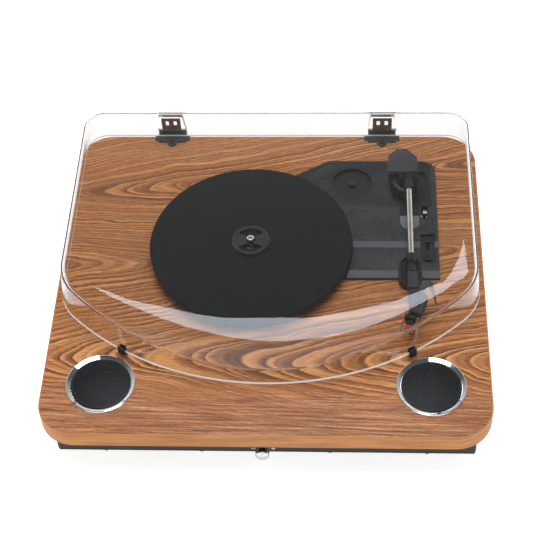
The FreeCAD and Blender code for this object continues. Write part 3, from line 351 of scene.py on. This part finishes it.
def ring_distance(s):
    """Distance field whose level lines are the nested arches of the veneer."""
    bend = s.noise(s.stretch((150.0, 70.0, 40.0)), 2.0)
    sway = s.noise(s.stretch((46.0, 17.0, 40.0)), 3.0)
    ripple = s.noise(s.stretch((15.0, 4.0, 40.0)), 3.0)
    x, y, _ = s.split(s.place)
    for wander, reach_mm in ((bend, 26.0), (sway, 7.0), (ripple, 1.6)):
        y = s.swing(wander, reach_mm, y)
    field = None
    for (tip_x, tip_y), slope, taper, roundness, finer in HEARTS:
        dx = s.math("SUBTRACT", x, tip_x)
        dy = s.math("SUBTRACT", s.math("SUBTRACT", y, tip_y), s.math("MULTIPLY", dx, slope))
        root = s.math("SQRT", s.math("ADD", s.math("MULTIPLY", dy, dy), roundness ** 2))
        rings = s.math("MULTIPLY", s.math("SUBTRACT", root, s.math("MULTIPLY", dx, taper)), finer)
        field = rings if field is None else s.math("SMOOTH_MIN", field, rings, HEART_JOIN)
    return field


def walnut():
    s = Shader("walnut_veneer", specular_ior_level=0.20)
    x, across, z = s.split(s.place)
    leaning = s.join(x, s.math("MULTIPLY_ADD", x, 0.03, across), z)
    straight = s.noise(s.stretch((75.0, 1.9, 4.0), leaning), 4.0, 0.7)
    field = ring_distance(s)
    drift = s.noise(s.join(s.math("MULTIPLY", field, 0.11), 3.7), 2.0)
    turns = s.math("ADD", s.math("DIVIDE", field, RING_MM), s.math("MULTIPLY", drift, 3.2))
    phase = s.math("FRACT", s.math("ADD", turns, 50.0))
    fibre = s.noise(s.stretch((14.0, 0.62, 4.0)), 4.0, 0.70)
    dash = s.noise(s.stretch((4.5, 0.60, 4.0)), 3.0, 0.6)
    band = s.ramp(s.swing(fibre, 0.50, phase, clamp=True), BAND_TONES)
    fine = s.math("SINE", s.math("MULTIPLY", s.math("ADD", field, s.math("MULTIPLY", drift, 9.0)), 4.2))
    calm = s.noise(s.stretch((90.0, 26.0, 30.0)), 2.0)
    front = s.remap(across, *FRONT_STRIP_Y)
    arches = s.math("MULTIPLY", s.remap(across, *ARCHES_BEHIND_Y), s.remap(across, *ARCHES_BEFORE_Y))

    def fading(inside, at_front):
        return s.remap(front, 0.0, 1.0, inside, at_front)

    contrast = s.math("MULTIPLY", s.remap(calm, 0.36, 0.62, 0.38, 0.95), fading(1.0, 0.15))
    contrast = s.math("MULTIPLY_ADD", arches, 0.35, contrast)
    tone = s.swing(band, contrast, 0.47)
    tone = s.math("MULTIPLY_ADD", fine, 0.065, tone)
    tone = s.swing(fibre, fading(1.05, 0.85), tone)
    tone = s.swing(straight, fading(0.45, 2.30), tone)
    tone = s.swing(dash, fading(0.55, 0.70), tone, clamp=True)
    color = s.ramp(tone, WALNUT_TONES)
    color = s.mix(front, color, s.tinted(color, (1.05, 1.14, 1.50)))
    color = s.mix(s.remap(across, *REAR_PALE_Y), color, s.tinted(color, (1.10, 1.16, 1.25)))
    warm = s.remap(s.noise(s.stretch((150.0, 22.0, 60.0)), 3.0), 0.40, 0.62, 0.0, 0.7)
    color = s.mix(warm, color, s.tinted(color, (1.06, 0.93, 0.70)))
    pores = s.remap(s.noise(s.stretch((6.5, 0.26, 3.0)), 2.0, 0.7), 0.60, 0.70)
    color = s.mix(s.math("MULTIPLY", pores, 0.45), color, (0.070, 0.026, 0.011))
    # Painted shade: the wood below the board's top, the walls of its holes and slots, is painted near black.
    cut = s.remap(z, BOARD_Z / MM - 0.9, BOARD_Z / MM - 0.5, 1.0, 0.0)
    color = s.mix(cut, color, s.mix(dash, (0.010, 0.008, 0.006), (0.024, 0.019, 0.014)))
    rough = s.remap(tone, 0.0, 1.0, 0.58, 0.44)
    height = s.math("SUBTRACT", s.math("MULTIPLY", tone, 0.35), pores)
    return s.finish(color, rough, s.bump(height, 0.05))


def edge_wood():
    """Printed band with long fine streaks, a little more orange along its upper edge."""
    s = Shader("edge_band", specular_ior_level=0.35)
    _, _, z = s.split(s.place)
    streak = s.noise(s.stretch((60.0, 60.0, 0.8)), 4.0, 0.6)
    cloud = s.noise(s.stretch((45.0, 45.0, 9.0)), 2.0)
    tone = s.math("ADD", s.math("MULTIPLY", streak, 0.7), s.math("MULTIPLY", cloud, 0.3))
    color = s.ramp(tone, BAND_WOOD_TONES)
    lip = s.remap(z, BOARD_Z / MM - 1.3, BOARD_Z / MM - 0.3)
    color = s.mix(s.math("MULTIPLY", lip, 0.75), color, (0.52, 0.20, 0.035))
    return s.finish(color, s.remap(streak, 0.3, 0.7, 0.42, 0.55), s.bump(streak, 0.03))


MARK_X, MARK_Z = (-11.3, 7.3), 14.0        # minus and plus printed beside the knob
MARK_HALF, MARK_STROKE = 2.2, 0.6


def printed_marks(s):
    """1 on the strokes of the minus and plus signs, 0 elsewhere."""
    x, _, z = s.split(s.place)
    minus_x, plus_x = MARK_X

    def stroke(middle_x, half_length, half_height):
        along = s.math("ABSOLUTE", s.math("SUBTRACT", x, middle_x))
        up = s.math("ABSOLUTE", s.math("SUBTRACT", z, MARK_Z))
        inside = s.math("LESS_THAN", along, half_length)
        return s.math("MULTIPLY", inside, s.math("LESS_THAN", up, half_height))

    plus = s.math("MAXIMUM", stroke(plus_x, MARK_HALF, MARK_STROKE), stroke(plus_x, MARK_STROKE, MARK_HALF))
    return s.math("MAXIMUM", stroke(minus_x, MARK_HALF, MARK_STROKE), plus)


def black_vinyl(name, color, dark, marked=False):
    """Wrapped board: fine leather-like emboss with a few paler scuffs."""
    s = Shader(name, specular_ior_level=0.4)
    emboss = s.cells(s.stretch((0.55, 0.55, 0.55)))
    cloud = s.noise(s.stretch((30.0, 30.0, 12.0)), 3.0)
    tone = s.mix(cloud, dark, color)
    scuff = s.remap(s.noise(s.stretch((9.0, 9.0, 1.2)), 4.0, 0.7), 0.66, 0.80)
    tone = s.mix(s.math("MULTIPLY", scuff, 0.25), tone, (0.12, 0.12, 0.11))
    if marked:
        tone = s.mix(printed_marks(s), tone, (0.70, 0.70, 0.68))
    return s.finish(tone, s.remap(cloud, 0.3, 0.7, 0.50, 0.66), s.bump(emboss, 0.05, 0.6))


# ---------------------------------------------------------------- plastics and rubber
def scaled(color, factor, lift=0.0):
    return tuple(min(1.0, c * factor + lift) for c in color)


def moulded(name, color, grain_depth=0.04, rough=(0.45, 0.60), gloss=0.18):
    """Textured moulding: fine spark-eroded grain, faint clouding, and convex edges painted paler as a
    highlight.
    """
    s = Shader(name, specular_ior_level=gloss)
    grain = s.noise(s.stretch((0.35, 0.35, 0.35)), 3.0, 0.65)
    cloud = s.noise(s.stretch((26.0, 26.0, 26.0)), 3.0)
    tone = s.mix(s.remap(cloud, 0.3, 0.7), scaled(color, 0.75), scaled(color, 1.25))
    tone = s.mix(s.math("MULTIPLY", s.remap(grain, 0.35, 0.75), 0.30), tone, scaled(color, 1.8, 0.004))
    # Painted highlight: convex edges are mixed towards a paler tone.
    tone = s.mix(s.math("MULTIPLY", s.edges(), 0.35), tone, scaled(color, 2.2, 0.03))
    return s.finish(tone, s.remap(grain, 0.3, 0.7, *rough), s.bump(grain, grain_depth))


def deck_plastic():
    """Arm panel: grainy fields, a smoother upper field, and smoother slopes that face forward, painted paler
    as a reflection of the overhead lamp.
    """
    s = Shader("deck_moulding", specular_ior_level=0.15)
    _, y, _ = s.split(s.place)
    geometry = s.tree.nodes.new("ShaderNodeNewGeometry")
    _, lean, up = s.split(geometry.outputs["Normal"])
    # Forward-facing slopes: their grain is smoother, and their pale colour below is a painted reflection of
    # the overhead lamp.
    slope = s.math("MULTIPLY", s.remap(lean, -0.10, -0.14), s.remap(up, 0.80, 0.90))
    upper = s.remap(y, UPPER_FIELD_Y - 0.2, UPPER_FIELD_Y + 0.2)
    grain = s.noise(s.stretch((0.9, 0.9, 0.9)), 3.0, 0.7)
    fine = s.noise(s.stretch((0.3, 0.3, 0.3)), 2.0)
    cloud = s.noise(s.stretch((40.0, 40.0, 40.0)), 3.0)
    field = s.ramp(grain, [(0.36, (0.004, 0.004, 0.0042)), (0.50, (0.015, 0.015, 0.0155)),
                           (0.64, (0.070, 0.070, 0.074))])
    smooth = s.mix(cloud, (0.014, 0.014, 0.0142), (0.021, 0.021, 0.0212))
    color = s.mix(upper, field, smooth)
    # Painted highlight: the forward-facing slopes are mixed towards a paler grey.
    color = s.mix(slope, color, s.mix(fine, (0.088, 0.090, 0.098), (0.122, 0.124, 0.134)))
    # Painted highlight: convex edges of the panel are mixed towards a paler grey.
    color = s.mix(s.math("MULTIPLY", s.edges(), 0.4), color, (0.10, 0.10, 0.105))
    rough = s.math("MULTIPLY_ADD", grain, 0.18, s.remap(upper, 0.0, 1.0, 0.46, 0.40))
    height = s.math("MULTIPLY", grain, s.remap(s.math("MAXIMUM", upper, slope), 0.0, 1.0, 1.0, 0.12))
    return s.finish(color, rough, s.bump(height, 0.09))


def rubber():
    """Plain black rubber with a fine grain and a little dust."""
    s = Shader("rubber", specular_ior_level=0.3)
    color = (0.020, 0.020, 0.020)
    grain = s.noise(s.stretch((0.5, 0.5, 0.5)), 4.0, 0.7)
    dust = s.remap(s.noise(s.stretch((14.0, 14.0, 14.0)), 4.0, 0.65), 0.52, 0.75)
    tone = s.mix(s.math("MULTIPLY", dust, 0.35), color, scaled(color, 1.8, 0.006))
    return s.finish(tone, s.remap(grain, 0.3, 0.7, 0.62, 0.85), s.bump(grain, 0.05))


def mat_rubber():
    """Slip mat: fine fibrous texture with faint turning marks round the spindle."""
    s = Shader("platter_mat", specular_ior_level=0.10)
    middle = tuple(c / MM for c in (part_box("platter_mat")[0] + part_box("platter_mat")[1]) / 2)
    from_middle = s.vector("SUBTRACT", s.place, middle)
    radius = s.vector("LENGTH", s.vector("MULTIPLY", from_middle, (1.0, 1.0, 0.0)))
    rings = s.noise(s.join(s.math("MULTIPLY", radius, 1.6), 0.0), 3.0)
    nap = s.noise(s.stretch((0.45, 0.45, 0.45)), 4.0, 0.75)
    cloud = s.noise(s.stretch((35.0, 35.0, 35.0)), 3.0)
    broad = s.math("ADD", s.math("MULTIPLY", rings, 0.2), s.math("MULTIPLY", cloud, 0.2))
    tone = s.math("ADD", s.math("MULTIPLY", nap, 0.6), broad)
    color = s.ramp(tone, [(0.30, (0.0080, 0.0080, 0.0082)), (0.70, (0.0185, 0.0185, 0.0188))])
    height = s.math("ADD", nap, s.math("MULTIPLY", rings, 0.4))
    return s.finish(color, s.remap(nap, 0.3, 0.7, 0.70, 0.90), s.bump(height, 0.06))


# ---------------------------------------------------------------- metals
def metal(name, color, rough, streaks=(0.4, 30.0, 0.4), scratch=0.5):
    """Plated or drawn metal: directional drawing lines, smudges and hairline scratches."""
    s = Shader(name, metallic=1.0)
    lines = s.noise(s.stretch(streaks), 3.0, 0.6)
    smudge = s.noise(s.stretch((11.0, 11.0, 11.0)), 3.0, 0.6)
    hair = s.remap(s.noise(s.stretch((0.35, 9.0, 0.35)), 2.0, 0.7), 0.68, 0.78)
    shade = s.math("ADD", s.math("MULTIPLY", lines, 0.5), s.math("MULTIPLY", smudge, 0.5))
    tone = s.mix(s.remap(shade, 0.3, 0.7), scaled(color, 0.86), scaled(color, 1.06))
    roughness = s.math("MULTIPLY_ADD", hair, scratch * 0.25, s.remap(smudge, 0.3, 0.7, *rough))
    return s.finish(tone, roughness, s.bump(lines, 0.004))


# ---------------------------------------------------------------- clear plastic
SHADE_THROUGH = 0.93          # share of the lamps' light that a clear wall lets pass


def clear(name, tint=(0.985, 0.99, 0.99), rough=(0.0, 0.035), rim_z=None):
    """Clear acrylic with faint wipe marks; light from the lamps passes it, as it does a thin wall.

    Below rim_z the cut edge is frosted and looks white."""
    s = Shader(name, ior=1.49, transmission_weight=1.0, specular_ior_level=0.5)
    wipe = s.noise(s.stretch((60.0, 14.0, 30.0)), 4.0, 0.6)
    hair = s.remap(s.noise(s.stretch((24.0, 0.5, 6.0)), 2.0, 0.7), 0.66, 0.80)
    roughness = s.math("MULTIPLY_ADD", hair, 0.03, s.remap(wipe, 0.45, 0.75, *rough))
    wave = s.noise(s.stretch((70.0, 50.0, 50.0)), 1.0)
    if rim_z is not None:
        _, _, z = s.split(s.place)
        frost = s.remap(z, rim_z / MM - 0.3, rim_z / MM + 0.3, 1.0, 0.0)
        roughness = s.math("MULTIPLY_ADD", frost, 0.35, roughness)
        s.put(s.bsdf.inputs["Transmission Weight"], s.remap(frost, 0.0, 1.0, 1.0, 0.25))
    s.finish(tint, roughness, s.bump(wave, 0.004))
    path = s.tree.nodes.new("ShaderNodeLightPath")
    veil = s.tree.nodes.new("ShaderNodeBsdfTransparent")
    veil.inputs["Color"].default_value = (SHADE_THROUGH, SHADE_THROUGH, SHADE_THROUGH, 1)
    pick = s.tree.nodes.new("ShaderNodeMixShader")
    out = s.tree.nodes["Material Output"]
    s.put(pick.inputs[0], s.math("MAXIMUM", path.outputs["Is Shadow Ray"], path.outputs["Is Diffuse Ray"]))
    s.put(pick.inputs[1], s.bsdf.outputs[0])
    s.put(pick.inputs[2], veil.outputs[0])
    s.put(out.inputs["Surface"], pick.outputs[0])
    return s.material


# ---------------------------------------------------------------- pieces made here
def new_piece(name, bm, material, smooth=True):
    mesh = bpy.data.meshes.new(name)
    bmesh.ops.recalc_face_normals(bm, faces=bm.faces)
    bm.to_mesh(mesh)
    bm.free()
    mesh.materials.append(material)
    for polygon in mesh.polygons:
        polygon.use_smooth = smooth
    piece = bpy.data.objects.new(name, mesh)
    bpy.context.scene.collection.objects.link(piece)
    return piece


def apply_modifiers(piece):
    depsgraph = bpy.context.evaluated_depsgraph_get()
    made = bpy.data.meshes.new_from_object(piece.evaluated_get(depsgraph))
    piece.modifiers.clear()
    piece.data = made


def refined(node, body, material, bevel_mm=0.0):
    """Copy of a CAD piece whose flats shade flat, with its sharp edges rounded if asked."""
    bm = bmesh.new()
    bm.from_mesh(NODES[node].data)
    bmesh.ops.remove_doubles(bm, verts=bm.verts, dist=0.005 * MM)
    bmesh.ops.dissolve_limit(bm, angle_limit=math.radians(0.3), verts=bm.verts, edges=bm.edges)
    mesh = bpy.data.meshes.new(node + "_shown")
    bm.verts.index_update()
    mesh.from_pydata([v.co[:] for v in bm.verts], [], [[v.index for v in f.verts] for f in bm.faces])
    bm.free()
    for polygon in mesh.polygons:
        polygon.use_smooth = True
    mesh.materials.append(material)
    piece = bpy.data.objects.new(node + "_shown", mesh)
    piece.matrix_world = NODES[node].matrix_world
    bpy.context.scene.collection.objects.link(piece)
    if bevel_mm:
        bevel = piece.modifiers.new("bevel", "BEVEL")
        bevel.width = bevel_mm * MM
        bevel.segments = 2
        bevel.limit_method = "ANGLE"
        bevel.angle_limit = math.radians(35)
        bevel.use_clamp_overlap = True
    else:
        mesh.set_sharp_from_angle(angle=math.radians(32))
    even = piece.modifiers.new("even", "WEIGHTED_NORMAL")
    even.mode = "FACE_AREA"
    even.keep_sharp = not bevel_mm
    apply_modifiers(piece)
    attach(piece, body)
    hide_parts(node)


MESH_PITCH = 1.75 * MM
MESH_HOLE = 0.60 * MM
RIM_WIDTH = 1.6 * MM


def perforated_grille(side, material):
    """Domed sheet punched with a hexagonal field of holes, with a plain rolled rim."""
    node = "speaker_grille_" + side
    low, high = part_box(node)
    middle = (low + high) / 2
    radius = (high.x - low.x) / 2 - 0.05 * MM
    thick = 0.7 * MM
    rise = high.z - low.z - thick - 0.1 * MM

    def dome(x, y):
        share = min(1.0, math.hypot(x, y) / radius)
        return (middle.x + x, middle.y + y, low.z + thick + rise * (1 - share ** 2))

    bm = bmesh.new()
    corner = {}

    def vertex(x, y):
        key = (round(x / (0.01 * MM)), round(y / (0.01 * MM)))
        if key not in corner:
            corner[key] = bm.verts.new(dome(x, y))
        return corner[key]

    cell = MESH_PITCH / math.sqrt(3)
    turns = [math.radians(60 * i + 30) for i in range(6)]
    rows = int(radius / (MESH_PITCH * 0.866)) + 1
    for row in range(-rows, rows + 1):
        for column in range(-rows - 1, rows + 2):
            cx = (column + 0.5 * (row % 2)) * MESH_PITCH
            cy = row * MESH_PITCH * math.sqrt(3) / 2
            if math.hypot(cx, cy) > radius - RIM_WIDTH + 0.2 * MM:
                continue
            outer = [vertex(cx + cell * math.cos(a), cy + cell * math.sin(a)) for a in turns]
            inner = [vertex(cx + MESH_HOLE * math.cos(a), cy + MESH_HOLE * math.sin(a)) for a in turns]
            for i in range(6):
                j = (i + 1) % 6
                bm.faces.new((outer[i], outer[j], inner[j], inner[i]))
    sheet = new_piece("grille_sheet_" + side, bm, material, smooth=False)
    solid = sheet.modifiers.new("thickness", "SOLIDIFY")
    solid.thickness = 0.5 * MM
    solid.offset = -1
    apply_modifiers(sheet)

    bm = bmesh.new()
    steps = 96
    profile = [(radius - RIM_WIDTH - 0.9 * MM, 0.02), (radius - RIM_WIDTH, 0.12), (radius - 0.4 * MM, 0.10),
               (radius, -0.15), (radius, -0.6), (radius - RIM_WIDTH - 0.9 * MM, -0.55)]
    loops = []
    for i in range(steps):
        a = 2 * math.pi * i / steps
        ring = []
        for r, lift in profile:
            x, y, z = dome(r * math.cos(a), r * math.sin(a))
            ring.append(bm.verts.new((x, y, z + lift * MM)))
        loops.append(ring)
    for i in range(steps):
        here, there = loops[i], loops[(i + 1) % steps]
        for k in range(len(profile)):
            m = (k + 1) % len(profile)
            bm.faces.new((here[k], there[k], there[m], here[m]))
    rim = new_piece("grille_rim_" + side, bm, material)
    for piece in (sheet, rim):
        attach(piece, "base")
    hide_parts(node)


# ---------------------------------------------------------------- the looks of every node
UPPER_FIELD_Y = 83.5 + BOARD_MID.y / MM


def dress_nodes():
    steel = metal("plated_steel", (0.62, 0.62, 0.60), (0.22, 0.36))
    chrome = metal("chrome", (0.93, 0.93, 0.94), (0.03, 0.09), (20.0, 20.0, 20.0), 0.3)
    tube = metal("drawn_tube", (0.80, 0.75, 0.69), (0.12, 0.20), (0.3, 60.0, 0.3))
    black = moulded("black_moulding", (0.011, 0.011, 0.0115), rough=(0.34, 0.48))
    grey = moulded("grey_moulding", (0.028, 0.029, 0.030), rough=(0.40, 0.52))
    brass = metal("brass", (0.78, 0.58, 0.28), (0.15, 0.3))
    dress(walnut(), "top_board")
    dress(edge_wood(), "edge_band")
    wrap = black_vinyl("base_black", (0.052, 0.051, 0.045), (0.034, 0.033, 0.029))
    # The front wall is the same vinyl painted paler, to make up for the little light that reaches it under
    # the board's overhang.
    front_wrap = black_vinyl("base_front", (0.066, 0.065, 0.056), (0.046, 0.045, 0.039), marked=True)
    under_wrap = black_vinyl("base_underside", (0.040, 0.038, 0.034), (0.028, 0.027, 0.024))
    dress(wrap, "base_wall_back", "base_wall_left", "base_wall_right")
    dress(front_wrap, "base_wall_front")
    dress(under_wrap, "bottom_cover")
    dress(rubber(), "rubber_feet", "lid_bumpers", "drive_belt")
    dress(mat_rubber(), "platter_mat")
    dress(deck_plastic(), "deck_plate")
    dress(moulded("insert_grey", (0.100, 0.104, 0.112), rough=(0.35, 0.48)), "throat_insert")
    dress(black, "arm_rest", "arm_yoke", "arm_sleeve", "headshell_socket", "cartridge", "speed_switch",
          "stop_switch", "platter", "dc_inlet", "rca_sockets", "speaker_cone_left", "speaker_cone_right")
    dress(grey, "arm_housing", "headshell", "finger_lift", "lift_platform", "hinge_bracket_left",
          "hinge_bracket_right")
    dress(chrome, "speaker_ring_left", "speaker_ring_right", "volume_knob", "spindle", "cue_lever")
    dress(moulded("black_screw", (0.020, 0.020, 0.021), rough=(0.3, 0.4)), "hinge_screws", "deck_screws")
    dress(steel, "wood_screws", "hinge_pins", "spindle_clip", "drive_motor", "volume_pot", "pot_shaft",
          "speaker_basket_left", "speaker_basket_right", "counterweight", "speaker_magnets")
    dress(tube, "arm_tube")
    dress(moulded("adaptor_black", (0.014, 0.014, 0.0145), rough=(0.24, 0.34), gloss=0.5), "adaptor_45")
    dress(brass, "motor_pulley", "platter_bush")
    refined("headshell", "arm", grey, 0.35)
    refined("cartridge", "arm", black, 0.3)
    refined("arm_housing", "swivel", grey, 0.4)
    dress(moulded("leaf_brown", (0.040, 0.030, 0.026)), "hinge_leaf_left", "hinge_leaf_right")
    dress(moulded("solder_resist", (0.012, 0.10, 0.035)), "circuit_board")
    dress(moulded("stylus_red", (0.42, 0.012, 0.016), grain_depth=0.01), "stylus")
    cover = clear("cover_acrylic", rim_z=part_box("dust_cover")[0].z + 0.9 * MM)
    dress(cover, "dust_cover")
    refined("dust_cover", "lid", cover)
    dress(clear("guard_acrylic", (0.97, 0.97, 0.98), (0.02, 0.10)), "stylus_guard")
    mesh = moulded("grille_paint", (0.010, 0.010, 0.0103), rough=(0.34, 0.46), gloss=0.14)
    for side in ("left", "right"):
        perforated_grille(side, mesh)


make_camera()
make_stage()
dress_nodes()
